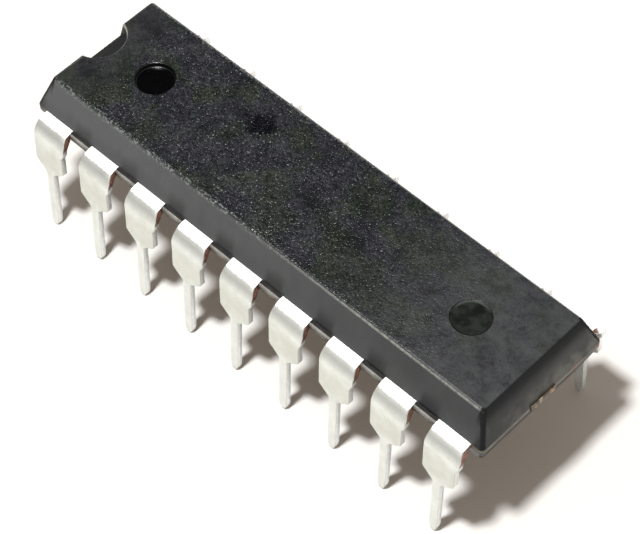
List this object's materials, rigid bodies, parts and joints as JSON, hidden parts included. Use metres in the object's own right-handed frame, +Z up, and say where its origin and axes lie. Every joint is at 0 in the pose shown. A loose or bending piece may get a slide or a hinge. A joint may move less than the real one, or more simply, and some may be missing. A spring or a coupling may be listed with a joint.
{
  "type": "dual in-line integrated circuit",
  "caption": "Dual in-line chip package: a black moulded resin body with an end notch, and along each long side a row of bent leads that narrow to pointed tips.",
  "frame": {"origin": "centre of the outline, at the height of the lead tips", "axes": "+X along the rows and away from the notched end, +Y across the rows, +Z up from the lead tips to the top face"},
  "size_m": [0.023, 0.0084, 0.0071],
  "materials": {
    "resin": "matte",
    "tinned_lead": "satin",
    "copper": "satin",
    "adhesive": "matte",
    "silicon": "polished",
    "gold_wire": "polished"
  },
  "bodies": {
    "root": {"package_body": "resin", "lead_01": "tinned_lead", "lead_02": "tinned_lead", "lead_03": "tinned_lead", "lead_04": "tinned_lead", "lead_05": "tinned_lead", "lead_06": "tinned_lead", "lead_07": "tinned_lead", "lead_08": "tinned_lead", "lead_09": "tinned_lead", "lead_10": "tinned_lead", "lead_11": "tinned_lead", "lead_12": "tinned_lead", "lead_13": "tinned_lead", "lead_14": "tinned_lead", "lead_15": "tinned_lead", "lead_16": "tinned_lead", "lead_17": "tinned_lead", "lead_18": "tinned_lead", "die_paddle": "copper", "die_adhesive": "adhesive", "silicon_die": "silicon", "bond_wire_01": "gold_wire", "bond_wire_02": "gold_wire", "bond_wire_03": "gold_wire", "bond_wire_04": "gold_wire", "bond_wire_05": "gold_wire", "bond_wire_06": "gold_wire", "bond_wire_07": "gold_wire", "bond_wire_08": "gold_wire", "bond_wire_09": "gold_wire", "bond_wire_10": "gold_wire", "bond_wire_11": "gold_wire", "bond_wire_12": "gold_wire", "bond_wire_13": "gold_wire", "bond_wire_14": "gold_wire", "bond_wire_15": "gold_wire", "bond_wire_16": "gold_wire", "bond_wire_17": "gold_wire", "bond_wire_18": "gold_wire"}
  },
  "joints": []
}
